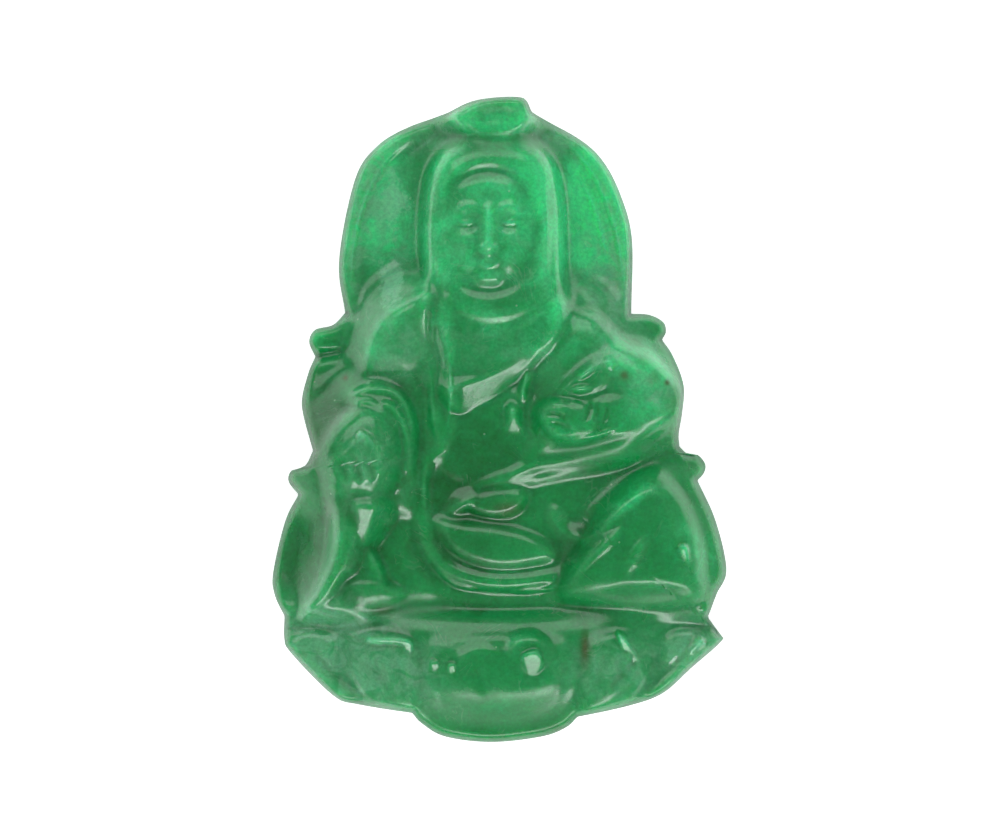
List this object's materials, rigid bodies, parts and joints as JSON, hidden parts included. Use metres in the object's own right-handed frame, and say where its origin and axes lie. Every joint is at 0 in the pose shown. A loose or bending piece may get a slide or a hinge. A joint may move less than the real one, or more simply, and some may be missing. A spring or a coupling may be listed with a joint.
{
  "type": "carved jade pendant",
  "caption": "Green jade pendant carved as a hooded figure seated on a lotus before a scalloped halo plate, drilled for a cord.",
  "frame": {"origin": "middle of the flat back, at the middle of the box in plan", "axes": "+Z out of the carved face, +Y from the lotus foot to the boss over the head, +X to the viewer's right"},
  "size_m": [0.0318, 0.045, 0.0081],
  "materials": {
    "green_jade": "polished translucent green jade, mottled light to deep green"
  },
  "bodies": {
    "root": {"jade_pendant": "green_jade"}
  },
  "joints": []
}
